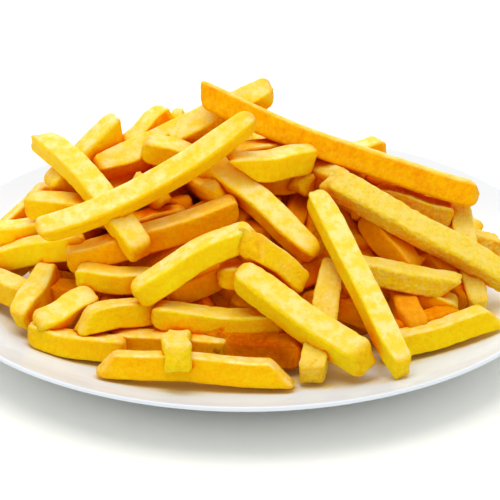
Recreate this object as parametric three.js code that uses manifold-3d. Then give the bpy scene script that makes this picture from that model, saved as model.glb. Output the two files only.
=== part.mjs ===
// A portion of french fries heaped on a white coupe plate.
// Millimetres, +Z up. The origin is on the table, under the middle of the plate.
import * as THREE from 'three'
import { mergeVertices } from 'three/addons/utils/BufferGeometryUtils.js'
import Module from 'manifold-3d'

const wasm = await Module()
wasm.setup()

// Plate: a shallow coupe form, turned from one profile
const PLATE = {
  radius: 129,
  height: 22.5,
  wellRadius: 80,
  wellTop: 5.5,
  wellUnder: 1.8,
  rise: 1.7,
  lip: 1.5,
  lipRound: 0.5,
  underShift: 0.3,
  footRadius: 72,
  footWidth: 4,
  footSlope: 1.5,
  wellBend: 4,
  steps: 7,
  facets: 48,
}

// Heap: a plain core, and the fries that lie on it
const CORE = { center: [0.5, 1.5], reach: [80, 64], bottom: 5.9, top: 67, power: 1.5, rings: 7, facets: 24 }
const FRY = { side: 10, tip: 0.74, tipLength: 2.5, bend: [0.35, 0.65], gap: 0.5, rest: 0.6 }
const BACK = {
  seed: 20,
  tries: 70,
  golden: 0.618034,
  turn: [-0.05, 1.05],
  out: [0.06, 1.15],
  heading: [0.2, 0.8],
  length: [44, 78],
  lie: [2, 5],
  layer: 7,
  roll: [-40, 40],
  side: [8.6, 10.4],
  reach: 104,
  steep: 0.8,
  front: -22,
  top: 58,
}

const COLOR = { plate: 0xf2f2ee, fries: 0xf3c431 }

// The fries that show from the front. Each runs from its left end to its right end.
// roll turns its top face to the front, bow lifts its middle, side is its thickness.
// cut slants its ends: how much longer it is at the front and the top, first left and then right.
const SHOWN = [
  // along the top
  {
    name: 'crown', left: [-17.5, 1.5, 90], right: [92.5, -6.5, 49.5],
    roll: -18, bow: -3.3, side: 10.3, cut: [0, 0.5, 0, -0.3],
  },
  { name: 'peak', left: [-59.5, -0.5, 57], right: [10.5, 14.5, 86], roll: 37, side: 10.5 },
  { name: 'peak_under', left: [-40.5, -2.5, 69], right: [-14.5, -3.5, 62], roll: 10, side: 9.5 },
  { name: 'top_back_a', left: [-48, 8.5, 63], right: [-32, 20.5, 75], side: 9 },
  { name: 'top_back_b', left: [-32.5, 14.5, 66], right: [-26.5, 24.5, 73.8], side: 5 },
  { name: 'top_back_c', left: [38.5, 9.5, 60], right: [56.5, 17.5, 60], side: 9 },
  // left side, from the top down
  {
    name: 'left_cross', left: [-83, 10.5, 67], right: [-40, -42.5, 41],
    roll: 15, bow: 5, cut: [0.4, 0, 0, 0],
  },
  { name: 'left_long', left: [-79.5, -43, 51], right: [2.5, -18, 88], roll: 38, bow: -7, side: 9.3 },
  {
    name: 'left_back_a', left: [-77.5, -0.5, 49], right: [-51.5, 12.5, 71.8],
    side: 11.5, cut: [0, 0, 0, 0.65],
  },
  { name: 'left_back_b', left: [-106.5, 8.5, 18], right: [-79.5, 9.5, 45] },
  { name: 'left_c', left: [-87.5, -8.5, 47], right: [-51.5, -14.5, 45], roll: 5 },
  { name: 'left_n', left: [-81.5, 2.5, 38], right: [-49.5, 3.5, 48] },
  { name: 'left_d', left: [-106.5, -4.5, 30], right: [-67.5, -12.5, 40] },
  { name: 'left_e', left: [-108.5, -10.5, 20], right: [-62.5, -28.5, 39], bow: 1 },
  { name: 'left_f', left: [-69.5, -34.5, 34.5], right: [-3.5, -25.5, 53.2], bow: -2 },
  { name: 'left_g', left: [-46.5, -18.5, 41], right: [-23.5, -12.5, 44], side: 9 },
  { name: 'left_h', left: [-65.5, -41.5, 31], right: [-31.5, -42.5, 28], side: 9 },
  { name: 'left_i', left: [-88.5, -52.5, 16.5], right: [-75.5, -27.5, 27], roll: -5, side: 10.5 },
  { name: 'left_j', left: [-107.5, -17.5, 18], right: [-85.5, -39.5, 20] },
  { name: 'left_k', left: [-80, -60.5, 17.5], right: [-58, -47, 24.5], roll: 22 },
  { name: 'left_o', left: [-80, -34, 19], right: [-56, -40, 22] },
  {
    name: 'left_l', left: [-62.7, -62.4, 21.5], right: [-32.2, -50.4, 21],
    roll: -10, bow: 0.9, side: 9.8, cut: [0, -0.6, 0, 0],
  },
  {
    name: 'left_m', left: [-83.4, -59.5, 13.3], right: [-45.4, -68.6, 11.2],
    roll: -9, bow: -1.8, side: 9.3,
  },
  // middle, from the top down
  { name: 'middle_a', left: [-3.5, -8.5, 67], right: [18.5, 1.5, 67], side: 9 },
  {
    name: 'middle_b', left: [-2, -20.5, 67.5], right: [27, -10.5, 66.5],
    side: 10.5, cut: [0.3, 1.3, 0, 0.2],
  },
  { name: 'middle_c', left: [-2.5, -12.5, 57], right: [26.5, -1.5, 56] },
  { name: 'middle_d', left: [-16.5, -8.5, 65], right: [25.8, -40.5, 38.3], roll: 26, bow: 3 },
  { name: 'middle_e', left: [-41.5, -58.5, 30], right: [3, -46.5, 51.5], bow: 3 },
  {
    name: 'middle_f', left: [1.2, -55, 51.5], right: [21, -50, 31.5],
    roll: -30, side: 9.5, cut: [-0.7, 0.8, 0, 0],
  },
  { name: 'middle_g', left: [-10.5, -50.5, 35], right: [13.5, -50.5, 34.3], side: 9.5 },
  { name: 'middle_h', left: [-29.5, -48.5, 26], right: [-9.5, -41.5, 32], side: 9.5 },
  { name: 'middle_i', left: [17.5, -34.5, 31], right: [29.5, -26.5, 38] },
  { name: 'middle_j', left: [-35.5, -58.5, 23], right: [16.5, -60.5, 21], bow: -2, side: 9.5 },
  {
    name: 'middle_k', left: [-3, -57.4, 40.3], right: [44.8, -86.2, 17.6],
    roll: 22, bow: -1.5, side: 11.5, cut: [0, 0, 0, -0.7],
  },
  { name: 'middle_l', left: [34.6, -36.4, 33.3], right: [24.4, -87.3, 11.8], roll: -5, side: 10 },
  // front, on the plate
  {
    name: 'front_a', left: [-53.5, -82.4, 13.1], right: [14.2, -87.5, 11.5],
    roll: -15, side: 9.7, cut: [0, -0.9, 0, -1],
  },
  { name: 'front_b', left: [-25.2, -95.5, 23.5], right: [-26.2, -64, 14], side: 10.5 },
  { name: 'front_c', left: [-51.5, -60.5, 13], right: [-6, -68, 13.5], side: 8 },
  { name: 'front_e', left: [-9, -67.5, 13], right: [21, -73, 14], side: 10.5 },
  // right side, from the top down
  { name: 'right_a', left: [31.5, -8.5, 58], right: [42.5, 3.5, 58] },
  {
    name: 'right_long', left: [32.5, -22.5, 63], right: [105.5, -29.5, 22.5],
    roll: 40, side: 10.4, cut: [0.5, -0.3, 0, 0],
  },
  { name: 'right_b', left: [51.5, -4.5, 49], right: [82.5, -6.5, 41], side: 9 },
  {
    name: 'right_steep', left: [27, -26.8, 59.2], right: [57.5, -89.3, 15.6],
    roll: 6, bow: 1, side: 9.2, cut: [0, 0, 0, -0.35],
  },
  { name: 'right_c', left: [48.5, -15, 45], right: [65.5, -31, 26], roll: -10 },
  { name: 'right_d', left: [40.5, -38.5, 33], right: [80.5, -38.5, 25], side: 9.7, cut: [0, 0, 0, 0.8] },
  { name: 'right_e', left: [66.5, -36.5, 21], right: [82, -40, 14.5] },
  { name: 'right_f', left: [59.5, -34.5, 19], right: [66, -58, 15] },
  { name: 'right_j', left: [59, -51, 12.5], right: [84, -45.5, 13.5] },
  { name: 'right_k', left: [72, -20, 28], right: [88, -32, 13.5] },
  { name: 'right_g', left: [86, 2.5, 41], right: [90.5, -37.5, 14], side: 9.6 },
  { name: 'right_h', left: [82.5, -6.5, 31], right: [103.5, -0.5, 23] },
  {
    name: 'right_i', left: [52, -65.2, 11], right: [95.5, -53.5, 19.8],
    roll: -8, side: 9.2, cut: [0, 0, 0, -0.8],
  },
]

// Park-Miller draw between 0 and 1, the same on every run
function makeRandom(seed) {
  let state = seed
  return () => {
    state = (state * 16807) % 2147483647
    return state / 2147483647
  }
}

const mix = (low, high, share) => low + (high - low) * share

// Height of the plate's upper face at a distance from its middle
function plateTop(distance) {
  const rim = PLATE.radius - PLATE.lipRound
  const outside = (distance - PLATE.wellRadius) / (rim - PLATE.wellRadius)
  return mix(PLATE.wellTop, PLATE.height, Math.min(1, Math.max(0, outside)) ** PLATE.rise)
}

// Height of the core's skin over a point of the plate
function coreTop(x, y) {
  const dx = (x - CORE.center[0]) / CORE.reach[0]
  const dy = (y - CORE.center[1]) / CORE.reach[1]
  const out = Math.min(1, Math.hypot(dx, dy))
  return mix(CORE.bottom, CORE.top, (1 - out ** CORE.power) ** (1 / CORE.power))
}

// The plate's profile runs under the well, round the foot, up the outside and down the inside
function makePlate() {
  const footInner = PLATE.footRadius - PLATE.footWidth / 2
  const profile = [
    new THREE.Vector2(0, PLATE.wellUnder),
    new THREE.Vector2(footInner - PLATE.footSlope, PLATE.wellUnder),
    new THREE.Vector2(footInner, 0),
    new THREE.Vector2(footInner + PLATE.footWidth, 0),
  ]
  const inside = []
  for (let i = 0; i <= PLATE.steps; i++) {
    const share = i / PLATE.steps
    const radius = mix(PLATE.wellRadius - PLATE.wellBend, PLATE.radius - PLATE.lipRound, share)
    const wall = mix(PLATE.wellTop - PLATE.wellUnder, PLATE.lip, share)
    const top = plateTop(radius)
    profile.push(new THREE.Vector2(radius + wall * PLATE.underShift, top - wall))
    inside.push(new THREE.Vector2(radius, top))
  }
  profile.push(new THREE.Vector2(PLATE.radius, PLATE.height - PLATE.lip / 2))
  profile.push(...inside.reverse())
  profile.push(new THREE.Vector2(0, PLATE.wellTop))
  const plate = new THREE.LatheGeometry(profile, PLATE.facets)
  plate.rotateX(Math.PI / 2)
  return plate
}

function makeCore() {
  const profile = [new THREE.Vector2(0, CORE.bottom)]
  for (let i = 0; i <= CORE.rings; i++) {
    const turn = (i / CORE.rings) * (Math.PI / 2)
    const out = Math.cos(turn) ** (2 / CORE.power)
    const up = Math.sin(turn) ** (2 / CORE.power)
    profile.push(new THREE.Vector2(i === CORE.rings ? 0 : out, mix(CORE.bottom, CORE.top, up)))
  }
  const core = new THREE.LatheGeometry(profile, CORE.facets)
  core.rotateX(Math.PI / 2)
  core.scale(CORE.reach[0], CORE.reach[1], 1)
  core.translate(CORE.center[0], CORE.center[1], 0)
  return core
}

// The line of a fry and the two directions across it
function fryAxes(fry) {
  const left = new THREE.Vector3(...fry.left)
  const along = new THREE.Vector3(...fry.right).sub(left)
  const length = along.length()
  along.normalize()
  const up = new THREE.Vector3(0, 0, 1).addScaledVector(along, -along.z).normalize()
  const front = new THREE.Vector3().crossVectors(along, up)
  const roll = THREE.MathUtils.degToRad(fry.roll ?? 0)
  const top = up.clone().multiplyScalar(Math.cos(roll)).addScaledVector(front, Math.sin(roll))
  const side = front.multiplyScalar(Math.cos(roll)).addScaledVector(up, -Math.sin(roll))
  return { left, along, length, top, side }
}

// Square rings along a fry, smaller at both tips. A bowed fry has two more.
function fryRings(fry) {
  const { left, along, length, top, side } = fryAxes(fry)
  const half = (fry.side ?? FRY.side) / 2
  const section = [[half, half], [-half, half], [-half, -half], [half, -half]]
  const tip = FRY.tipLength / length
  const shares = fry.bow ? [0, tip, ...FRY.bend, 1 - tip, 1] : [0, tip, 1 - tip, 1]
  const [frontLeft, topLeft, frontRight, topRight] = fry.cut ?? [0, 0, 0, 0]
  return shares.map((share, ring) => {
    const size = share === 0 || share === 1 ? FRY.tip : 1
    const lift = (fry.bow ?? 0) * (1 - (2 * share - 1) ** 2)
    const middle = left.clone().addScaledVector(along, share * length)
    middle.z += lift
    const atLeft = ring < 2 ? -1 : 0
    const atRight = ring > shares.length - 3 ? 1 : 0
    return section.map(([across, over]) => {
      const slip = atLeft * (frontLeft * across + topLeft * over)
        + atRight * (frontRight * across + topRight * over)
      return middle.clone().addScaledVector(along, slip)
        .addScaledVector(side, across * size).addScaledVector(top, over * size)
    })
  })
}

// How far a fry has to rise to stay clear of the plate
function liftNeeded(rings) {
  let need = 0
  for (const point of rings.flat()) {
    need = Math.max(need, plateTop(Math.hypot(point.x, point.y)) + FRY.gap - point.z)
  }
  return need
}

function fryGeometry(rings) {
  const points = rings.flat()
  const sides = rings[0].length
  const index = []
  for (let ring = 0; ring < rings.length - 1; ring++) {
    for (let i = 0; i < sides; i++) {
      const a = ring * sides + i
      const b = ring * sides + (i + 1) % sides
      index.push(a, b + sides, b, a, a + sides, b + sides)
    }
  }
  const last = (rings.length - 1) * sides
  for (let i = 1; i < sides - 1; i++) {
    index.push(0, i, i + 1)
    index.push(last, last + i + 1, last + i)
  }
  const geometry = new THREE.BufferGeometry().setFromPoints(points)
  geometry.setIndex(index)
  return geometry
}

// One end of a hidden fry: over a point of the plate, on the core's skin or on the plate, but
// no higher than the fries that show
function backEnd(x, y, lie, side) {
  const rest = plateTop(Math.hypot(x, y)) + FRY.gap + side * FRY.rest
  return [x, y, Math.max(Math.min(coreTop(x, y) + lie, BACK.top), rest)]
}

// Fries that the front view hides: two layers laid on the core's sides and back by a seeded rule
function backFries() {
  const random = makeRandom(BACK.seed)
  const fries = []
  for (let i = 0; i < BACK.tries; i++) {
    const turn = Math.PI * mix(...BACK.turn, (i * BACK.golden) % 1)
    const out = Math.sqrt(mix(...BACK.out, random()))
    const heading = turn + Math.PI * mix(...BACK.heading, random())
    const half = mix(...BACK.length, random()) / 2
    const lie = mix(...BACK.lie, random()) + (i % 2) * BACK.layer
    const roll = mix(...BACK.roll, random())
    const side = mix(...BACK.side, random())
    const x = CORE.center[0] + CORE.reach[0] * out * Math.cos(turn)
    const y = CORE.center[1] + CORE.reach[1] * out * Math.sin(turn)
    const runX = half * Math.cos(heading)
    const runY = half * Math.sin(heading)
    const left = backEnd(x - runX, y - runY, lie, side)
    const right = backEnd(x + runX, y + runY, lie, side)
    const reach = Math.max(Math.hypot(left[0], left[1]), Math.hypot(right[0], right[1]))
    const steep = Math.abs(left[2] - right[2]) / (2 * half)
    const front = Math.min(left[1], right[1])
    if (reach > BACK.reach || steep > BACK.steep || front < BACK.front) continue
    fries.push({ name: `back_${i}`, left, right, roll, side })
  }
  return fries
}

function toSolid(geometry) {
  geometry.deleteAttribute('normal')
  geometry.deleteAttribute('uv')
  const merged = mergeVertices(geometry, 1e-4)
  const mesh = { numProp: 3, vertProperties: merged.attributes.position.array }
  mesh.triVerts = new Uint32Array(merged.index.array)
  return new wasm.Manifold(new wasm.Mesh(mesh))
}

function toGeometry(solid) {
  const mesh = solid.getMesh()
  const geometry = new THREE.BufferGeometry()
  geometry.setAttribute('position', new THREE.BufferAttribute(mesh.vertProperties, 3))
  geometry.setIndex(new THREE.BufferAttribute(mesh.triVerts, 1))
  return geometry
}

// Everything in the heap joined into one solid. Its largest shell is kept, without sealed hollows.
function makeHeap() {
  let heap = toSolid(makeCore())
  for (const fry of [...SHOWN, ...backFries()]) {
    const rings = fryRings(fry)
    const lift = liftNeeded(rings)
    for (const point of rings.flat()) point.z += lift
    heap = heap.add(toSolid(fryGeometry(rings)))
  }
  const shells = heap.decompose()
  shells.sort((a, b) => b.volume() - a.volume())
  return toGeometry(shells[0])
}

function makeNode(name, geometry, color, roughness) {
  const material = new THREE.MeshStandardMaterial({ color, roughness, metalness: 0 })
  const mesh = new THREE.Mesh(geometry, material)
  mesh.name = name
  return mesh
}

const portion = new THREE.Group()
portion.add(makeNode('plate', makePlate(), COLOR.plate, 0.2))
portion.add(makeNode('fries', makeHeap(), COLOR.fries, 0.6))

export default portion
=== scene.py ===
"""Looks for a portion of french fries heaped on a white coupe plate."""

import math

import bpy
import numpy as np
from mathutils import Euler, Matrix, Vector, noise
from mathutils.bvhtree import BVHTree


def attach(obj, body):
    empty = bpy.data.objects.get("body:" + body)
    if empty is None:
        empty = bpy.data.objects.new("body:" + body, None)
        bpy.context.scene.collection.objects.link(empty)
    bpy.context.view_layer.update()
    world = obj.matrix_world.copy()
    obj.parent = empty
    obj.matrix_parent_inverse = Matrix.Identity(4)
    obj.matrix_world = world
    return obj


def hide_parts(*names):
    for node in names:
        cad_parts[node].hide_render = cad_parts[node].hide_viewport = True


MM = 0.001

# Plate and heap, in millimetres, as in the solids. BACK lays the fries of the hidden side.
PLATE = {
    "radius": 129, "height": 22.5, "well_radius": 80, "well_top": 5.5, "well_under": 1.8, "rise": 1.7,
    "lip": 1.5, "lip_round": 0.5, "under_shift": 0.3, "foot_radius": 72, "foot_width": 4,
    "foot_slope": 1.5, "well_bend": 4,
}
CORE = {"center": (0.5, 1.5), "reach": (80, 64), "bottom": 5.9, "top": 67, "power": 1.5}
FRY = {"side": 10, "tip": 0.74, "tip_length": 2.5, "gap": 0.5, "rest": 0.6}
BACK = {
    "seed": 20, "tries": 70, "golden": 0.618034, "turn": (-0.05, 1.05), "out": (0.06, 1.15),
    "heading": (0.2, 0.8), "length": (44, 78), "lie": (2, 5), "layer": 7, "roll": (-40, 40),
    "side": (8.6, 10.4), "reach": 104, "steep": 0.8, "front": -22, "top": 58,
}

# Short fries low in the gaps, all round the core, and the smaller core that they lie on. Their
# dark tones and the core's dark colour paint the shade in the gaps.
FILL = {
    "seed": 11, "count": 74, "golden": 0.618034, "out": (0.02, 0.95), "heading": (0.15, 0.85),
    "length": (30, 52), "lie": (-17, -10), "roll": (-40, 40), "side": (8.4, 10), "reach": 92,
    "tone": (1.7, 2.4),
}
# Rays that measure how much sky other fries cut off from each point: the mask for painted shade
SHELTER = {"rays": 18, "golden_angle": 2.39996, "off": 0.5, "reach": 24}
INNER = {
    "shrink": 0.9, "sink": 25, "rings": 26, "segments": 96, "bump": 1.5, "bump_size": 7,
    "crust": (2.1, 0.5, 0.6),
}

# How uneven a fry is. Pairs are the least value and what a draw, or the blunt or rough value, adds.
UNEVEN = {
    "seed": 1000, "end_seed": 5000, "rough": (0.25, 0.3), "corner": (0.2, 0.13),
    "blunt": (0.3, 0.5), "wander": (0.2, 0.5), "wander_top": 2.2, "wander_side": 2.6, "twist": 10,
    "swell": 0.02, "swell_width": 16, "swell_height": 15, "taper": 0.3, "taper_length": 16,
    "sink": 0.35, "cut": 0.3, "cut_length": 8, "lump_size": 9, "chip_size": 2, "lump": (0.1, 0.5),
    "chip": (0.1, 0.8),
}

# How a fry's ends close, and how brown they and the edges are
END = {
    "depth": 0.96, "length": (2.2, 3.2), "shrink": (0.2, 0.4), "after": 1.3, "ring": 0.55,
    "bulge": 0.35, "middle_bulge": 0.4, "dent": 0.5, "dent_size": 3,
}
BROWN = {"end": (0.35, 0.65), "length": 2.2, "edge": 0.1, "lump": 0.05, "cap": 0.45}

# Points round a fry, step along it and rings near its ends, for fries that show and for the others
FINE = {"points": 32, "spacing": 2, "near": (0, 0.25, 0.8, 1.6, 2.6, 3.8)}
PLAIN = {"points": 16, "spacing": 4, "near": (0, 0.6, 2)}
LOW = {"points": 16, "spacing": 6, "near": (0, 0.6, 2)}

PLATE_MESH = {
    "segments": 192, "steps": 34, "flat": (0.93, 0.86, 0.79, 0.72, 0.62), "lip_edges": (0.7, 0.3),
    "foot_slant": 0.3, "foot_round": 0.4, "rim_gap": 0.1,
}

# Colours and places of ramps: from pale to dark crust, what is blended over it, plate and floor.
# The darkest crust, which the fill fries and the core reach, paints the shade in the gaps
CRUST = (
    (0.15, (1.0, 0.8, 0.01)), (0.3, (1.0, 0.66, 0.004)), (0.45, (0.99, 0.5, 0.002)),
    (0.6, (0.85, 0.26, 0.001)), (0.85, (0.45, 0.07, 0.0005)),
)
# Blended over the crust: two colours of painted shade, a pale colour of painted top light with the
# pale flecks shown in it, pale grains, brown edges and the tint of the shine
FRY_COLORS = {
    "shaded": (1.0, 0.36, 0.001), "deep": (0.9, 0.14, 0.0005), "top": (1.0, 0.7, 0.07),
    "lit_flecks": (1.0, 0.82, 0.32), "grains": (1.0, 0.77, 0.15), "edge": (0.8, 0.35, 0.003),
    "shine": (1.0, 0.75, 0.1, 1),
}
# The glaze is a little blue, painted to offset the fries' warm light on the plate
GLAZE = ((0.3, (0.75, 0.80, 0.865)), (0.7, (0.77, 0.82, 0.885)))
# Painted light and shade on the plate near the fries (a cooler white, a golden shadow), and bare clay
# under the foot
PLATE_COLORS = {
    "near_fries": (0.84, 0.92, 1.0), "golden_contact_shadow": (0.87, 0.68, 0.18), "clay": (0.72, 0.69, 0.62),
}
FLOOR = ((0.3, (0.985, 0.975, 0.9)), (0.7, (0.99, 0.98, 0.91)))

# The photograph's view, in metres, degrees and picture points
CAMERA = {
    "target": (0.0016, 0.0005, 0.022), "elevation": 25.4, "distance": 0.8, "sensor": 36,
    "focal_points": 1955, "picture_points": 500,
}

# The fries that show from the front, from left end to right end. roll turns the top face to the
# front, bow lifts the middle and side is the thickness. cut slants the ends (left: front and top,
# right: front and top), taper thins them and ends says how blunt they are. rough is how blistered
# the crust is, and tone how dark its gold; the darkest tones, as on front_e, also paint the shade
# those fries lie in.
SHOWN = [
    # along the top
    {"name": "crown", "left": (-17.5, 1.5, 90), "right": (92.5, -6.5, 49.5), "roll": -18,
     "side": 10.3, "bow": -3.3, "cut": (0, 0.5, 0, -0.3), "rough": 0.15, "tone": 1.18,
     "ends": (0.1, 0.8)},
    {"name": "peak", "left": (-59.5, -0.5, 57), "right": (10.5, 14.5, 86), "roll": 37,
     "side": 10.5, "tone": 0.35, "ends": (0.4, 0.5)},
    {"name": "peak_under", "left": (-40.5, -2.5, 69), "right": (-14.5, -3.5, 62), "roll": 10,
     "side": 9.5, "tone": 0.5},
    {"name": "top_back_a", "left": (-48, 8.5, 63), "right": (-32, 20.5, 75), "side": 9,
     "tone": 0.4},
    {"name": "top_back_b", "left": (-32.5, 14.5, 66), "right": (-26.5, 24.5, 73.8), "side": 5},
    {"name": "top_back_c", "left": (38.5, 9.5, 60), "right": (56.5, 17.5, 60), "side": 9},
    # left side, from the top down
    {"name": "left_cross", "left": (-83, 10.5, 67), "right": (-40, -42.5, 41), "roll": 15,
     "bow": 5, "cut": (0.4, 0, 0, 0), "tone": 0.5, "ends": (0.5, 0.2)},
    {"name": "left_long", "left": (-79.5, -43, 51), "right": (2.5, -18, 88), "roll": 38,
     "side": 9.3, "bow": -7, "rough": 0.15, "tone": 0.7, "ends": (0.7, 0.7)},
    {"name": "left_back_a", "left": (-77.5, -0.5, 49), "right": (-51.5, 12.5, 71.8), "side": 11.5,
     "cut": (0, 0, 0, 0.65), "tone": 0.4},
    {"name": "left_back_b", "left": (-106.5, 8.5, 18), "right": (-79.5, 9.5, 45)},
    {"name": "left_c", "left": (-87.5, -8.5, 47), "right": (-51.5, -14.5, 45), "roll": 5,
     "tone": 0.6},
    {"name": "left_n", "left": (-81.5, 2.5, 38), "right": (-49.5, 3.5, 48), "tone": 1.2},
    {"name": "left_d", "left": (-106.5, -4.5, 30), "right": (-67.5, -12.5, 40), "rough": 0.15,
     "tone": 0.4},
    {"name": "left_e", "left": (-108.5, -10.5, 20), "right": (-62.5, -28.5, 39), "bow": 1,
     "rough": 0.15, "tone": 0.3},
    {"name": "left_f", "left": (-69.5, -34.5, 34.5), "right": (-3.5, -25.5, 53.2), "bow": -2,
     "rough": 0.15, "tone": 1.15, "ends": (0.3, 0.5)},
    {"name": "left_g", "left": (-46.5, -18.5, 41), "right": (-23.5, -12.5, 44), "side": 9,
     "tone": 1.1},
    {"name": "left_h", "left": (-65.5, -41.5, 31), "right": (-31.5, -42.5, 28), "side": 9,
     "tone": 0.35, "ends": (0.5, 0.5)},
    {"name": "left_i", "left": (-88.5, -52.5, 16.5), "right": (-75.5, -27.5, 27), "roll": -5,
     "side": 10.5, "tone": 0.6, "ends": (0.35, 0.4)},
    {"name": "left_j", "left": (-107.5, -17.5, 18), "right": (-85.5, -39.5, 20), "tone": 0.75},
    {"name": "left_k", "left": (-80, -60.5, 17.5), "right": (-58, -47, 24.5), "roll": 22,
     "tone": 0.2, "ends": (0.3, 0.5)},
    {"name": "left_o", "left": (-80, -34, 19), "right": (-56, -40, 22), "tone": 1.8},
    {"name": "left_l", "left": (-62.7, -62.4, 21.5), "right": (-32.2, -50.4, 21), "roll": -10,
     "side": 9.8, "bow": 0.9, "cut": (0, -0.6, 0, 0), "rough": 0.5, "tone": 0.5,
     "ends": (0.3, 0.5)},
    {"name": "left_m", "left": (-83.4, -59.5, 13.3), "right": (-45.4, -68.6, 11.2), "roll": -9,
     "side": 9.3, "bow": -1.8, "tone": 0.75, "ends": (0.5, 0.5)},
    # middle, from the top down
    {"name": "middle_a", "left": (-3.5, -8.5, 67), "right": (18.5, 1.5, 67), "side": 9,
     "tone": 0.9},
    {"name": "middle_b", "left": (-2, -20.5, 67.5), "right": (27, -10.5, 66.5), "side": 10.5,
     "cut": (0.3, 1.3, 0, 0.2), "rough": 0.15, "tone": 0.6, "ends": (0.2, 0.2)},
    {"name": "middle_c", "left": (-2.5, -12.5, 57), "right": (26.5, -1.5, 56), "tone": 1.0},
    {"name": "middle_d", "left": (-16.5, -8.5, 65), "right": (25.8, -40.5, 38.3), "roll": 26,
     "bow": 3, "tone": 0.4, "ends": (0.3, 0.4)},
    {"name": "middle_e", "left": (-41.5, -58.5, 30), "right": (3, -46.5, 51.5), "bow": 3,
     "tone": 0.25, "ends": (0.4, 0.3)},
    {"name": "middle_f", "left": (1.2, -55, 51.5), "right": (21, -50, 31.5), "roll": -30,
     "side": 9.5, "cut": (-0.7, 0.8, 0, 0), "tone": 0.6, "ends": (0.1, 0.4)},
    {"name": "middle_g", "left": (-10.5, -50.5, 35), "right": (13.5, -50.5, 34.3), "side": 9.5,
     "tone": 0.9},
    {"name": "middle_h", "left": (-29.5, -48.5, 26), "right": (-9.5, -41.5, 32), "side": 9.5,
     "tone": 1.5},
    {"name": "middle_i", "left": (17.5, -34.5, 31), "right": (29.5, -26.5, 38), "tone": 1.3},
    {"name": "middle_j", "left": (-35.5, -58.5, 23), "right": (16.5, -60.5, 21), "side": 9.5,
     "bow": -2, "tone": 0.0, "ends": (0.7, 0.5)},
    {"name": "middle_k", "left": (-3, -57.4, 40.3), "right": (44.8, -86.2, 17.6), "roll": 22,
     "side": 11.5, "bow": -1.5, "cut": (0, 0, 0, -0.7), "tone": 0.35, "ends": (1, 0.5)},
    {"name": "middle_l", "left": (34.6, -36.4, 33.3), "right": (24.4, -87.3, 11.8), "roll": -5,
     "side": 10, "rough": 0.9, "tone": 0.4, "ends": (0.4, 0.2)},
    # front, on the plate
    {"name": "front_a", "left": (-53.5, -82.4, 13.1), "right": (14.2, -87.5, 11.5), "roll": -15,
     "side": 9.7, "cut": (0, -0.9, 0, -1), "rough": 0.15, "tone": 0.9, "ends": (0.6, 0.1)},
    {"name": "front_b", "left": (-25.2, -95.5, 23.5), "right": (-26.2, -64, 14), "side": 10.5,
     "tone": 0.0, "ends": (0.2, 0.2)},
    {"name": "front_c", "left": (-51.5, -60.5, 13), "right": (-6, -68, 13.5), "side": 8,
     "taper": (0, 0.6), "tone": 1.0},
    {"name": "front_e", "left": (-9, -67.5, 13), "right": (21, -73, 14), "side": 10.5, "tone": 2.5},
    # right side, from the top down
    {"name": "right_a", "left": (31.5, -8.5, 58), "right": (42.5, 3.5, 58), "rough": 0.9},
    {"name": "right_long", "left": (32.5, -22.5, 63), "right": (105.5, -29.5, 22.5), "roll": 40,
     "side": 10.4, "cut": (0.5, -0.3, 0, 0), "rough": 0.9, "tone": 0.5, "ends": (0.6, 0.5)},
    {"name": "right_b", "left": (51.5, -4.5, 49), "right": (82.5, -6.5, 41), "side": 9,
     "rough": 0.9, "tone": 0.6, "ends": (0.5, 0.2)},
    {"name": "right_steep", "left": (27, -26.8, 59.2), "right": (57.5, -89.3, 15.6), "roll": 6,
     "side": 9.2, "bow": 1, "cut": (0, 0, 0, -0.35), "tone": 0.25, "ends": (0.9, 0.1)},
    {"name": "right_c", "left": (48.5, -15, 45), "right": (65.5, -31, 26), "roll": -10,
     "tone": 1.3},
    {"name": "right_d", "left": (40.5, -38.5, 33), "right": (80.5, -38.5, 25), "side": 9.7,
     "cut": (0, 0, 0, 0.8), "rough": 0.9, "tone": 0.35, "ends": (0.4, 0.2)},
    {"name": "right_e", "left": (66.5, -36.5, 21), "right": (82, -40, 14.5), "tone": 0.9},
    {"name": "right_f", "left": (59.5, -34.5, 19), "right": (66, -58, 15), "tone": 1.45},
    {"name": "right_j", "left": (59, -51, 12.5), "right": (84, -45.5, 13.5), "tone": 1.5},
    {"name": "right_k", "left": (72, -20, 28), "right": (88, -32, 13.5), "tone": 1.7},
    {"name": "right_g", "left": (86, 2.5, 41), "right": (90.5, -37.5, 14), "side": 9.6,
     "rough": 0.9, "tone": 0.3, "ends": (0.2, 0.4)},
    {"name": "right_h", "left": (82.5, -6.5, 31), "right": (103.5, -0.5, 23), "rough": 0.9,
     "tone": 1.2},
    {"name": "right_i", "left": (52, -65.2, 11), "right": (95.5, -53.5, 19.8), "roll": -8,
     "side": 9.2, "cut": (0, 0, 0, -0.8), "tone": 0.5, "ends": (0.3, 0.3)},
]


def make_random(seed):
    """Park-Miller draw between 0 and 1, the same as in the solids."""
    factor = 16807
    limit = 2147483647
    state = seed
    while True:
        state = (state * factor) % limit
        yield state / limit


def mix(low, high, share):
    return low + (high - low) * share


def plate_top(distance):
    """Height of the plate's inside at a distance from its middle."""
    rim = PLATE["radius"] - PLATE["lip_round"]
    outside = (distance - PLATE["well_radius"]) / (rim - PLATE["well_radius"])
    return mix(PLATE["well_top"], PLATE["height"], min(1, max(0, outside)) ** PLATE["rise"])


def core_top(x, y):
    """Height of the mound's top."""
    dx = (x - CORE["center"][0]) / CORE["reach"][0]
    dy = (y - CORE["center"][1]) / CORE["reach"][1]
    out = min(1, math.hypot(dx, dy))
    power = CORE["power"]
    return mix(CORE["bottom"], CORE["top"], (1 - out ** power) ** (1 / power))


def end_on_heap(x, y, lie, side):
    """A fry's end point, on the mound or on the plate."""
    rest = plate_top(math.hypot(x, y)) + FRY["gap"] + side * FRY["rest"]
    return (x, y, max(min(core_top(x, y) + lie, BACK["top"]), rest))


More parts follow.
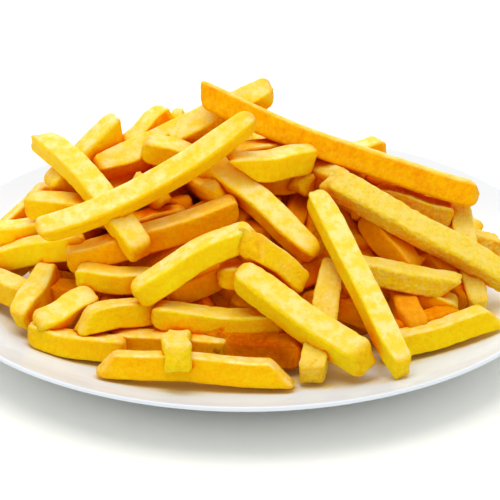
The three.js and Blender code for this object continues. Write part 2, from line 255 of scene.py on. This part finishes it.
def laid_fry(rule, draw, turn, layer=0):
    """One fry laid on the mound, drawn within a rule's ranges."""
    out = math.sqrt(mix(*rule["out"], next(draw)))
    heading = turn + math.pi * mix(*rule["heading"], next(draw))
    half = mix(*rule["length"], next(draw)) / 2
    lie = mix(*rule["lie"], next(draw)) + layer
    roll = mix(*rule["roll"], next(draw))
    side = mix(*rule["side"], next(draw))
    x = CORE["center"][0] + CORE["reach"][0] * out * math.cos(turn)
    y = CORE["center"][1] + CORE["reach"][1] * out * math.sin(turn)
    run_x = half * math.cos(heading)
    run_y = half * math.sin(heading)
    left = end_on_heap(x - run_x, y - run_y, lie, side)
    right = end_on_heap(x + run_x, y + run_y, lie, side)
    return {"left": left, "right": right, "roll": roll, "side": side, "run": 2 * half}


def fry_reach(fry):
    """How far out from the middle of the plate a fry's farther end is."""
    return max(math.hypot(*fry["left"][:2]), math.hypot(*fry["right"][:2]))


def back_fries():
    """Fries that the front view hides, by the rule of the solids."""
    draw = make_random(BACK["seed"])
    fries = []
    for i in range(BACK["tries"]):
        turn = math.pi * mix(*BACK["turn"], (i * BACK["golden"]) % 1)
        fry = laid_fry(BACK, draw, turn, (i % 2) * BACK["layer"])
        steep = abs(fry["left"][2] - fry["right"][2]) / fry["run"]
        front = min(fry["left"][1], fry["right"][1])
        if fry_reach(fry) <= BACK["reach"] and steep <= BACK["steep"] and front >= BACK["front"]:
            fries.append(fry)
    return fries


def fill_fries():
    """Short fries low in the heap, seen only in the gaps between the others, dark as painted shade."""
    draw = make_random(FILL["seed"])
    fries = []
    for i in range(FILL["count"]):
        turn = 2 * math.pi * ((i * FILL["golden"]) % 1)
        fry = laid_fry(FILL, draw, turn)
        if fry_reach(fry) <= FILL["reach"]:
            fry["tone"] = mix(*FILL["tone"], next(draw))
            fries.append(fry)
    return fries


def fry_frame(fry):
    """A fry's length and its directions: along it, out of its top and out of its front."""
    left = np.array(fry["left"], float)
    run = np.array(fry["right"], float) - left
    length = np.linalg.norm(run)
    along = run / length
    up = np.array([0, 0, 1.0]) - along * along[2]
    up /= np.linalg.norm(up)
    front = np.cross(along, up)
    return left, along, length, up, front


def fry_lift(fry):
    """How far the fry's solid has to rise to stay clear of the plate."""
    left, along, length, up, front = fry_frame(fry)
    roll = math.radians(fry.get("roll", 0))
    top = up * math.cos(roll) + front * math.sin(roll)
    side = front * math.cos(roll) - up * math.sin(roll)
    half = fry.get("side", FRY["side"]) / 2
    tip = FRY["tip_length"] / length
    need = 0
    cut = fry.get("cut", (0, 0, 0, 0))
    for share in (0, tip, 1 - tip, 1):
        size = half * (FRY["tip"] if share in (0, 1) else 1)
        for across, over in ((1, 1), (-1, 1), (-1, -1), (1, -1)):
            if share > 0.5:
                slip = half * (across * cut[2] + over * cut[3])
            else:
                slip = -half * (across * cut[0] + over * cut[1])
            point = left + along * (share * length + slip) + side * across * size + top * over * size
            need = max(need, plate_top(math.hypot(point[0], point[1])) + FRY["gap"] - point[2])
    return need


def rounded_square(points, corner):
    """A square of half width 1 with round corners, and how close each point is to a corner."""
    per_arc = points // 4 - 2
    outline = []
    nearness = []
    for quarter in range(4):
        middle = math.pi / 4 + quarter * math.pi / 2
        turn = (math.cos(quarter * math.pi / 2), math.sin(quarter * math.pi / 2))
        for i in range(per_arc):
            angle = middle + (i / (per_arc - 1) - 0.5) * math.pi / 2
            centre = (1 - corner) * math.sqrt(2)
            outline.append((centre * math.cos(middle) + corner * math.cos(angle),
                            centre * math.sin(middle) + corner * math.sin(angle)))
            nearness.append(1)
        # two points on the face that follows this corner
        for slide in (0.25, -0.25):
            x, y = slide, 1
            outline.append((x * turn[0] - y * turn[1], x * turn[1] + y * turn[0]))
            nearness.append(0.0)
    return np.array(outline), np.array(nearness)


def end_closing(distance, blunt):
    """How much a fry's cross section shrinks towards a rounded end."""
    full = END["depth"]
    depth = np.clip(1 - distance / (END["length"][0] + END["length"][1] * blunt), 0, 1)
    rounding = (1 - np.sqrt(1 - (full * depth) ** 2)) / (1 - math.sqrt(1 - full ** 2))
    return 1 - (END["shrink"][0] + END["shrink"][1] * blunt) * rounding


def bar_faces(rings, count):
    """The long faces of a bar made of rings of points."""
    faces = []
    for ring in range(rings - 1):
        for i in range(count):
            a = ring * count + i
            b = ring * count + (i + 1) % count
            faces.append((a, a + count, b + count, b))
    return faces


def close_end(grid, ring, outward, start, seed):
    """Points and faces that close an end: a smaller ring inside its last ring, and a middle point."""
    count = grid.shape[1]
    base = ring * count
    rim = grid[ring]
    centre = rim.mean(axis=0)
    points = []
    for i in range(count):
        point = centre + (rim[i] - centre) * END["ring"]
        dent = noise.noise(Vector(point) / END["dent_size"] + seed) * END["dent"]
        points.append(point + outward * (END["bulge"] + dent))
    points.append(centre + outward * END["middle_bulge"])
    faces = []
    for i in range(count):
        j = (i + 1) % count
        quad = (base + i, base + j, start + j, start + i)
        tri = (start + i, start + j, start + count)
        faces.append(quad if ring == 0 else quad[::-1])
        faces.append(tri if ring == 0 else tri[::-1])
    return points, faces


def fry_mesh(fry, index, points, spacing, near):
    """Points, faces and crust values of one fry: an uneven bar with cut ends, in millimetres."""
    draw = np.random.default_rng(UNEVEN["seed"] + index)
    draw_end = np.random.default_rng(UNEVEN["end_seed"] + index)
    left, along, length, up, front = fry_frame(fry)
    half = fry.get("side", FRY["side"]) / 2
    bow = fry.get("bow", 0)
    rough = fry.get("rough", UNEVEN["rough"][0] + UNEVEN["rough"][1] * draw.random())
    corner = UNEVEN["corner"][0] + UNEVEN["corner"][1] * draw.random()
    outline, nearness = rounded_square(points, corner)

    near_end = np.array(near)
    plain = near_end[-1] + END["after"]
    inner = max(3, round((length - 2 * plain) / spacing))
    between = np.linspace(plain, length - plain, inner)
    places = np.concatenate([near_end, between, length - near_end[::-1]])
    share = places / length
    blunt = fry.get("ends", UNEVEN["blunt"][0] + UNEVEN["blunt"][1] * draw_end.random(2))
    closing = end_closing(places, blunt[0]) * end_closing(length - places, blunt[1])

    # slow changes along the fry: sideways wander, twist, width and height
    phase = draw.random(6) * 2 * math.pi
    wander = UNEVEN["wander"][0] + UNEVEN["wander"][1] * draw.random(2)
    fade = np.sin(math.pi * share)
    drift_top = wander[0] * fade * np.sin(UNEVEN["wander_top"] * math.pi * share + phase[0])
    drift_side = wander[1] * fade * np.sin(UNEVEN["wander_side"] * math.pi * share + phase[1])
    twist = math.radians(UNEVEN["twist"] * (draw.random() - 0.5)) * (share - 0.5)
    width = 1 + UNEVEN["swell"] * np.sin(places / UNEVEN["swell_width"] + phase[2])
    height = 1 + UNEVEN["swell"] * np.sin(places / UNEVEN["swell_height"] + phase[4])
    drawn_taper = (UNEVEN["taper"] * draw.random() ** 2, UNEVEN["taper"] * draw.random() ** 2)
    taper = fry.get("taper", drawn_taper)
    lean = draw.choice([-1, 1], 2)
    reach = UNEVEN["taper_length"]
    thin_left = taper[0] * np.clip(1 - places / reach, 0, 1) ** 1.5
    thin_right = taper[1] * np.clip(1 - (length - places) / reach, 0, 1) ** 1.5
    width = width * (1 - thin_left - thin_right)
    drift_side = drift_side + half * (lean[0] * thin_left + lean[1] * thin_right)

    roll = math.radians(fry.get("roll", 0)) + twist
    cos, sin = np.cos(roll)[:, None], np.sin(roll)[:, None]
    top = up[None] * cos + front[None] * sin
    side = front[None] * cos - up[None] * sin
    middle = left[None] + along[None] * places[:, None]
    middle = middle + top * drift_top[:, None] + side * drift_side[:, None]
    middle[:, 2] += bow * (1 - (2 * share - 1) ** 2) + fry_lift(fry)

    across = outline[None, :, 0] * (width * closing)[:, None] * half
    over = outline[None, :, 1] * (height * closing)[:, None] * half
    # faces sink a little between the edges
    sink = UNEVEN["sink"] * (1 - nearness)[None, :]
    radius = np.hypot(across, over)
    across = across * (1 - sink / radius)
    over = over * (1 - sink / radius)
    # slanted cuts: how much longer the front and the top are, at the left end and at the right end
    cut = np.array(fry.get("cut", (0, 0, 0, 0))) + UNEVEN["cut"] * (draw.random(4) - 0.5)
    near_left = np.clip(1 - places / UNEVEN["cut_length"], 0, 1)[:, None]
    near_right = np.clip(1 - (length - places) / UNEVEN["cut_length"], 0, 1)[:, None]
    slip_left = -cut[0] * across - cut[1] * over
    slip_right = cut[2] * across + cut[3] * over
    slip = near_left * slip_left + near_right * slip_right
    grid = middle[:, None] + side[:, None] * across[..., None] + top[:, None] * over[..., None]
    grid = grid + along * slip[..., None]
    outward = side[:, None] * (across / radius)[..., None] + top[:, None] * (over / radius)[..., None]

    # lumps and dents
    seed = Vector(draw.random(3) * 100)
    lumps = np.empty(grid.shape[:2])
    chips = np.empty(grid.shape[:2])
    for i in range(grid.shape[0]):
        for j in range(grid.shape[1]):
            p = Vector(grid[i, j])
            slow = noise.noise(p / UNEVEN["lump_size"] + seed)
            lumps[i, j] = 0.5 * slow + 0.5 * noise.noise(p / UNEVEN["chip_size"] + seed)
            chips[i, j] = max(0, noise.noise(p / UNEVEN["chip_size"] - seed))
    lump = UNEVEN["lump"][0] + UNEVEN["lump"][1] * rough
    chip = UNEVEN["chip"][0] + UNEVEN["chip"][1] * rough
    push = lumps * lump - chips * nearness[None, :] * chip
    grid = grid + outward * push[..., None]

    # browner ends, fading out along the fry, and browner edges
    end_brown = BROWN["end"][0] + BROWN["end"][1] * draw.random(2)
    from_left = np.exp(-places / BROWN["length"]) * end_brown[0]
    from_right = np.exp(-(length - places) / BROWN["length"]) * end_brown[1]
    brown_edge = BROWN["edge"] * nearness[None, :] * (lumps > BROWN["lump"])
    brown = (from_left + from_right)[:, None] + brown_edge
    tone = fry.get("tone", draw.random())

    rings, count = grid.shape[:2]
    verts = grid.reshape(-1, 3)
    whole = np.ones(verts.shape[0])
    crust = np.stack([whole * tone, brown.reshape(-1), whole * rough], axis=1)
    faces = bar_faces(rings, count)
    caps = []
    for ring, outward_end in ((0, -along), (rings - 1, along)):
        points, end_faces = close_end(grid, ring, outward_end, verts.shape[0] + len(caps), seed)
        caps.extend(points)
        faces.extend(end_faces)
    verts = np.concatenate([verts, np.array(caps)])
    crust = np.concatenate([crust, np.tile([tone, BROWN["cap"], rough], (len(caps), 1))])
    return verts, faces, crust


def make_object(name, verts, faces, crust, shade_mask=1):
    """A mesh from millimetres. Its points carry their crust values and their painted shade mask."""
    mesh = bpy.data.meshes.new(name)
    mesh.from_pydata([tuple(v) for v in np.asarray(verts) * MM], [], faces)
    mesh.update()
    mesh.shade_smooth()
    layer = mesh.color_attributes.new("crust", "FLOAT_COLOR", "POINT")
    values = np.ones((len(mesh.vertices), 4), dtype=np.float32)
    values[:, :3] = crust
    values[:, 3] = shade_mask
    layer.data.foreach_set("color", values.reshape(-1))
    obj = bpy.data.objects.new(name, mesh)
    bpy.context.collection.objects.link(obj)
    return obj


def shelter(tree, verts, faces):
    """How much of the sky the fries cut each point off from, 0 to 1: the mask for painted shade."""
    normals = np.zeros_like(verts)
    for face in faces:
        a, b, c = verts[face[0]], verts[face[1]], verts[face[2]]
        normals[list(face)] += np.cross(b - a, c - a)
    normals /= np.linalg.norm(normals, axis=1)[:, None] + 1e-9
    rays = SHELTER["rays"]
    turns = np.arange(rays) * SHELTER["golden_angle"]
    lift = (np.arange(rays) + 0.5) / rays
    out = np.sqrt(lift)
    spread = np.stack([out * np.cos(turns), out * np.sin(turns), np.sqrt(1 - lift)], axis=1)
    shade_mask = np.zeros(len(verts))
    for i, (point, normal) in enumerate(zip(verts, normals)):
        # a direction that isn't along the normal
        helper = np.array([1.0, 0, 0]) if abs(normal[0]) < 0.7 else np.array([0, 1.0, 0])
        across = np.cross(normal, helper)
        across /= np.linalg.norm(across)
        directions = spread @ np.stack([across, np.cross(normal, across), normal])
        start = Vector(point + normal * SHELTER["off"])
        blocked = 0
        for direction in directions:
            if tree.ray_cast(start, Vector(direction), SHELTER["reach"])[0] is not None:
                blocked += 1
        shade_mask[i] = blocked / rays
    return shade_mask


def make_heap():
    """Every fry in one mesh. Those that show have the most points."""
    verts, faces, crust = [], [], []
    total = 0
    index = 0
    for fries, detail in ((SHOWN, FINE), (back_fries(), PLAIN), (fill_fries(), LOW)):
        for fry in fries:
            fry_verts, fry_faces, fry_crust = fry_mesh(fry, index, **detail)
            faces.extend(tuple(i + total for i in face) for face in fry_faces)
            verts.append(fry_verts)
            crust.append(fry_crust)
            total += len(fry_verts)
            index += 1
    verts = np.concatenate(verts)
    tree = BVHTree.FromPolygons([Vector(v) for v in verts], faces)
    heap = make_object("fries_heap", verts, faces, np.concatenate(crust), shelter(tree, verts, faces))
    return heap, tree


def make_inner():
    """The low mound under the fries, seen only in the deepest gaps, coloured dark as painted shade."""
    rings, segments = INNER["rings"], INNER["segments"]
    verts = []
    for ring in range(rings + 1):
        turn = ring / rings * math.pi / 2
        out = math.cos(turn) ** (2 / CORE["power"])
        up = math.sin(turn) ** (2 / CORE["power"])
        for i in range(segments if ring < rings else 1):
            angle = i / segments * 2 * math.pi
            x = CORE["center"][0] + CORE["reach"][0] * INNER["shrink"] * out * math.cos(angle)
            y = CORE["center"][1] + CORE["reach"][1] * INNER["shrink"] * out * math.sin(angle)
            z = mix(CORE["bottom"], CORE["top"] - INNER["sink"], up)
            if ring:
                z += INNER["bump"] * noise.noise(Vector((x, y, z)) / INNER["bump_size"])
            verts.append((x, y, max(z, CORE["bottom"])))
    faces = []
    for ring in range(rings):
        for i in range(segments):
            a = ring * segments + i
            b = ring * segments + (i + 1) % segments
            if ring < rings - 1:
                faces.append((a, b, b + segments, a + segments))
            else:
                faces.append((a, b, len(verts) - 1))
    faces.append(tuple(range(segments))[::-1])
    return make_object("fries_shade_core", verts, faces, np.tile(INNER["crust"], (len(verts), 1)))


def make_plate(tree):
    """The plate turned finely, with a round lip, and how far fries shelter each point, for painted
    shade.
    """
    segments = PLATE_MESH["segments"]
    steps = PLATE_MESH["steps"]
    foot = PLATE["foot_radius"] - PLATE["foot_width"] / 2
    slant = PLATE_MESH["foot_slant"]
    rounding = PLATE_MESH["foot_round"]
    profile = [(0, PLATE["well_under"]), (foot - PLATE["foot_slope"], PLATE["well_under"]),
               (foot - slant, slant), (foot + rounding, 0), (foot + PLATE["foot_width"] - rounding, 0)]
    inside = []
    for i in range(steps + 1):
        share = i / steps
        radius = mix(PLATE["well_radius"] - PLATE["well_bend"],
                     PLATE["radius"] - PLATE["lip_round"], share)
        wall = mix(PLATE["well_top"] - PLATE["well_under"], PLATE["lip"], share)
        top = plate_top(radius)
        under = min(radius + wall * PLATE["under_shift"], PLATE["radius"] - PLATE_MESH["rim_gap"])
        profile.append((under, top - wall))
        inside.append((radius, top))
    for share in PLATE_MESH["lip_edges"]:
        profile.append((PLATE["radius"], PLATE["height"] - PLATE["lip"] * share))
    profile += inside[::-1]
    for share in PLATE_MESH["flat"]:
        profile.append((PLATE["well_radius"] * share, PLATE["well_top"]))
    profile.append((0, PLATE["well_top"]))
    verts = [(0, 0, profile[0][1])]
    for radius, z in profile[1:-1]:
        for i in range(segments):
            angle = i / segments * 2 * math.pi
            verts.append((radius * math.cos(angle), radius * math.sin(angle), z))
    verts.append((0, 0, profile[-1][1]))
    faces = []
    last = len(verts) - 1
    rings = len(profile) - 2
    for i in range(segments):
        j = (i + 1) % segments
        faces.append((0, 1 + j, 1 + i))
        faces.append((last, last - segments + i, last - segments + j))
        for ring in range(rings - 1):
            a = 1 + ring * segments
            faces.append((a + i, a + j, a + j + segments, a + i + segments))
    verts = np.array(verts)
    bare = np.zeros((len(verts), 3))
    return make_object("plate_glazed", verts, faces, bare, shelter(tree, verts, faces))


class Nodes:
    """Short names for adding and joining shader nodes."""

    def __init__(self, name):
        self.material = bpy.data.materials.new(name)
        self.material.use_nodes = True
        self.tree = self.material.node_tree
        self.tree.nodes.clear()
        self.shader = self.add("ShaderNodeBsdfPrincipled")
        output = self.add("ShaderNodeOutputMaterial")
        self.join(self.shader.outputs[0], output.inputs["Surface"])

    def add(self, kind, **settings):
        node = self.tree.nodes.new(kind)
        for key, value in settings.items():
            setattr(node, key, value)
        return node

    def join(self, out, into):
        self.tree.links.new(out, into)

    def set(self, **values):
        for key, value in values.items():
            self.shader.inputs[key.replace("_", " ")].default_value = value

    def noise(self, place, scale, detail=3, roughness=0.5):
        node = self.add("ShaderNodeTexNoise")
        node.inputs["Scale"].default_value = scale
        node.inputs["Detail"].default_value = detail
        node.inputs["Roughness"].default_value = roughness
        self.join(place, node.inputs["Vector"])
        return node.outputs["Fac"]

    def ramp(self, value, *stops):
        node = self.add("ShaderNodeValToRGB")
        points = node.color_ramp.elements
        while len(points) < len(stops):
            points.new(0.5)
        for point, (place, color) in zip(points, stops):
            point.position = place
            point.color = (*color, 1)
        self.join(value, node.inputs["Fac"])
        return node.outputs["Color"]

    def math(self, kind, a, b):
        node = self.add("ShaderNodeMath", operation=kind)
        for socket, value in zip(node.inputs, (a, b)):
            if isinstance(value, (int, float)):
                socket.default_value = value
            else:
                self.join(value, socket)
        return node.outputs[0]

    def blend(self, share, a, b):
        node = self.add("ShaderNodeMix", data_type="RGBA")
        for socket, value in ((node.inputs[0], share), (node.inputs[6], a), (node.inputs[7], b)):
            if isinstance(value, (int, float)):
                socket.default_value = value
            elif isinstance(value, tuple):
                socket.default_value = (*value, 1)
            else:
                self.join(value, socket)
        return node.outputs[2]


def grey(value):
    return (value, value, value)


def fries_material():
    """Fried potato: pale gold to dark gold in slow patches, browner at edges and ends, blistered,
    with painted shade where other fries cut off the sky and painted light on tops that face up.
    """
    m = Nodes("fried_potato")
    place = m.add("ShaderNodeTexCoord").outputs["Object"]
    crust = m.add("ShaderNodeVertexColor", layer_name="crust")
    parts = m.add("ShaderNodeSeparateColor")
    m.join(crust.outputs["Color"], parts.inputs[0])
    shade_mask = crust.outputs["Alpha"]
    tone, brown, rough = parts.outputs
    patches = m.noise(place, 80, 4)
    flecks = m.noise(place, 230, 5, 0.6)
    mottle = m.noise(place, 420, 5, 0.6)
    grain = m.noise(place, 850, 3, 0.7)
    fine = m.noise(place, 1500, 4, 0.6)
    # the fry's own tone, patchy and mottled
    mixed = m.math("ADD", m.math("MULTIPLY", patches, 0.3), m.math("MULTIPLY", tone, 0.45))
    mixed = m.math("ADD", mixed, 0.07)
    mixed = m.math("ADD", mixed, m.math("MULTIPLY", m.math("SUBTRACT", mottle, 0.35), 0.4))
    mixed = m.math("ADD", mixed, m.math("MULTIPLY", m.math("SUBTRACT", grain, 0.5), 0.4))
    mixed = m.math("MULTIPLY", mixed, 0.6)
    color = m.ramp(mixed, *CRUST)
    # brown edges and ends, and freckles on rough fries
    edge = m.math("MULTIPLY", brown, m.math("ADD", m.math("MULTIPLY", mottle, 1.3), -0.15))
    freckles = m.math("MULTIPLY", m.math("GREATER_THAN", m.noise(place, 330, 2), 0.7), 0.25)
    edge = m.math("ADD", edge, m.math("MULTIPLY", freckles, rough))
    browned = m.ramp(edge, (0.0, grey(0)), (0.75, grey(1)))
    normal = m.add("ShaderNodeSeparateXYZ")
    m.join(m.add("ShaderNodeNewGeometry").outputs["Normal"], normal.inputs[0])
    # painted shade: deeper gold, then red-orange, where other fries cut off the sky. Faces that look
    # up get a little less of it.
    lit = m.math("MULTIPLY", m.math("MAXIMUM", normal.outputs["Z"], 0.0), 0.15)
    painted_shade = m.math("SUBTRACT", shade_mask, lit)
    shade = m.ramp(painted_shade, (0.3, grey(0)), (0.7, grey(0.95)))
    color = m.blend(shade, color, FRY_COLORS["shaded"])
    deep = m.ramp(shade_mask, (0.6, grey(0)), (0.92, grey(1)))
    color = m.blend(deep, color, FRY_COLORS["deep"])
    # painted top light: faces that look up and lie out of the painted shade are pale and flecked
    lit_top = m.math("MULTIPLY", m.ramp(painted_shade, (0.2, grey(1)), (0.6, grey(0))),
                      m.ramp(normal.outputs["Z"], (0.3, grey(0)), (0.75, grey(1))))
    # dark fries get no painted top light
    golden = m.ramp(m.math("MULTIPLY", tone, 0.4), (0.4, grey(1)), (0.6, grey(0)))
    lit_top = m.math("MULTIPLY", lit_top, golden)
    color = m.blend(m.math("MULTIPLY", lit_top, 0.8), color, FRY_COLORS["top"])
    # pale flecks, partly the crust's own and partly painted highlight, shown only on the lit tops
    lit_flecks = m.math("MULTIPLY", m.ramp(flecks, (0.42, grey(0)), (0.6, grey(1))),
                   m.math("SUBTRACT", 1.05, m.math("MULTIPLY", rough, 0.6)))
    lit_flecks = m.math("MULTIPLY", m.math("MULTIPLY", lit_top, lit_top), lit_flecks)
    color = m.blend(lit_flecks, color, FRY_COLORS["lit_flecks"])
    # rough fries are covered in pale grains, which fade under the painted shade
    grainy = m.ramp(rough, (0.55, grey(0)), (0.9, grey(1)))
    grains = m.ramp(m.noise(place, 620, 3, 0.6), (0.44, grey(0)), (0.62, grey(0.7)))
    grains = m.math("MULTIPLY", grainy, grains)
    grains = m.math("MULTIPLY", grains, m.ramp(painted_shade, (0.3, grey(1)), (0.8, grey(0.15))))
    color = m.blend(grains, color, FRY_COLORS["grains"])
    color = m.blend(browned, color, FRY_COLORS["edge"])
    m.join(color, m.shader.inputs["Base Color"])
    # small blisters and grain in the crust
    bubbles = m.add("ShaderNodeTexVoronoi", feature="SMOOTH_F1")
    bubbles.inputs["Scale"].default_value = 480
    m.join(place, bubbles.inputs["Vector"])
    relief = m.math("ADD", m.math("MULTIPLY", mottle, 0.9), m.math("MULTIPLY", fine, 0.3))
    relief = m.math("ADD", relief, m.math("MULTIPLY", grain, 0.7))
    blisters = m.math("MULTIPLY", bubbles.outputs["Distance"], m.math("MULTIPLY", rough, 0.9))
    relief = m.math("SUBTRACT", relief, blisters)
    bump = m.add("ShaderNodeBump")
    bump.inputs["Strength"].default_value = 0.55
    bump.inputs["Distance"].default_value = 0.0016
    strength = m.math("ADD", m.math("MULTIPLY", rough, 1.5), 0.2)
    m.join(m.math("MULTIPLY", relief, strength), bump.inputs["Height"])
    m.join(bump.outputs[0], m.shader.inputs["Normal"])
    uneven = m.math("ADD", m.math("MULTIPLY", mottle, 0.6), m.math("MULTIPLY", rough, 0.4))
    m.join(m.ramp(uneven, (0.3, grey(0.36)), (0.8, grey(0.6))), m.shader.inputs["Roughness"])
    shine = m.ramp(shade_mask, (0.1, grey(0.12)), (0.4, grey(0.0)))
    m.join(shine, m.shader.inputs["Specular IOR Level"])
    m.set(Subsurface_Weight=0.3, Subsurface_Scale=0.004, IOR=1.45)
    m.set(Specular_Tint=FRY_COLORS["shine"])
    m.shader.inputs["Subsurface Radius"].default_value = (1.0, 0.5, 0.1)
    return m.material


def plate_material():
    """White glaze with faint waves, bare clay under the foot, painted light and shade near the fries.
    """
    m = Nodes("white_glaze")
    place = m.add("ShaderNodeTexCoord").outputs["Object"]
    cloud = m.noise(place, 14, 3)
    specks = m.noise(place, 900, 2)
    color = m.ramp(cloud, *GLAZE)
    near_fries = m.add("ShaderNodeVertexColor", layer_name="crust").outputs["Alpha"]
    # painted light and shade: close to the fries the white is painted cooler against their
    # golden light, and right below them it is painted golden as their shadow
    near = m.ramp(near_fries, (0.0, grey(0)), (0.15, grey(1)))
    color = m.blend(near, color, PLATE_COLORS["near_fries"])
    under = m.ramp(near_fries, (0.4, grey(0)), (0.72, grey(0.9)))
    color = m.blend(under, color, PLATE_COLORS["golden_contact_shadow"])
    height = m.add("ShaderNodeSeparateXYZ")
    m.join(place, height.inputs[0])
    bare = m.ramp(m.math("MULTIPLY", height.outputs["Z"], 1000), (0.0, grey(1)), (0.5, grey(0)))
    color = m.blend(bare, color, PLATE_COLORS["clay"])
    m.join(color, m.shader.inputs["Base Color"])
    gloss = m.blend(bare, m.ramp(cloud, (0.3, grey(0.3)), (0.7, grey(0.38))), grey(0.7))
    m.join(gloss, m.shader.inputs["Roughness"])
    bump = m.add("ShaderNodeBump")
    bump.inputs["Strength"].default_value = 0.08
    bump.inputs["Distance"].default_value = 0.0004
    m.join(m.math("ADD", cloud, m.math("MULTIPLY", specks, 0.1)), bump.inputs["Height"])
    m.join(bump.outputs[0], m.shader.inputs["Normal"])
    m.set(Specular_IOR_Level=0.35, Coat_Weight=0.08, Coat_Roughness=0.12)
    return m.material


def floor_material():
    """A pale, plain floor."""
    m = Nodes("pale_floor")
    place = m.add("ShaderNodeTexCoord").outputs["Object"]
    color = m.ramp(m.noise(place, 2), *FLOOR)
    m.join(color, m.shader.inputs["Base Color"])
    m.set(Roughness=0.9)
    return m.material


def make_camera():
    """The photograph's view: a long lens, looking down at the heap."""
    target = Vector(CAMERA["target"])
    elevation = math.radians(CAMERA["elevation"])
    away = Vector((0, -math.cos(elevation), math.sin(elevation)))
    data = bpy.data.cameras.new("camera")
    data.sensor_width = CAMERA["sensor"]
    data.lens = CAMERA["focal_points"] / CAMERA["picture_points"] * CAMERA["sensor"]
    data.clip_start = 0.05
    data.clip_end = 20
    camera = bpy.data.objects.new("camera", data)
    camera.location = target + CAMERA["distance"] * away
    camera.rotation_euler = Euler((math.pi / 2 - elevation, 0, 0))
    bpy.context.collection.objects.link(camera)
    bpy.context.scene.camera = camera


def add_area(name, place, aim, size, power):
    data = bpy.data.lights.new(name, "AREA")
    data.size = size
    data.energy = power
    light = bpy.data.objects.new(name, data)
    light.location = place
    light.rotation_euler = (Vector(aim) - Vector(place)).to_track_quat("-Z", "Y").to_euler()
    bpy.context.collection.objects.link(light)


def make_light():
    """Soft studio light: a bright surround, a lamp above the front and one behind."""
    world = bpy.data.worlds.new("studio")
    world.use_nodes = True
    background = world.node_tree.nodes["Background"]
    background.inputs["Color"].default_value = (1, 1, 1, 1)
    background.inputs["Strength"].default_value = 0.79
    bpy.context.scene.world = world
    add_area("key", (-0.1, -0.2, 1.3), (0, 0, 0.03), 0.8, 7.5)
    add_area("back", (0, 2, 1), (0, 0, 0.03), 1.4, 16)
    bpy.context.scene.view_settings.view_transform = "Standard"


def make_floor():
    mesh = bpy.data.meshes.new("floor")
    reach = 4
    corners = [(-reach, -reach, 0), (reach, -reach, 0), (reach, reach, 0), (-reach, reach, 0)]
    mesh.from_pydata(corners, [], [(0, 1, 2, 3)])
    floor = bpy.data.objects.new("floor", mesh)
    bpy.context.collection.objects.link(floor)
    mesh.materials.append(floor_material())


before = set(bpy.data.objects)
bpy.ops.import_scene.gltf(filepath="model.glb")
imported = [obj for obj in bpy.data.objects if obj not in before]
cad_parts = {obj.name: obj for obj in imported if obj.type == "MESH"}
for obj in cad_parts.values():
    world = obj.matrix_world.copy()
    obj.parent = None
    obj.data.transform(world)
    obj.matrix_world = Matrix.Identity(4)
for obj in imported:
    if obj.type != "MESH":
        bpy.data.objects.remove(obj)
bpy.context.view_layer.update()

make_camera()
make_light()
make_floor()

fried = fries_material()
heap, heap_tree = make_heap()
inner = make_inner()
for piece in (heap, inner):
    piece.data.materials.append(fried)
    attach(piece, "root")
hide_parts("fries")

plate = make_plate(heap_tree)
plate.data.materials.append(plate_material())
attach(plate, "root")
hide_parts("plate")
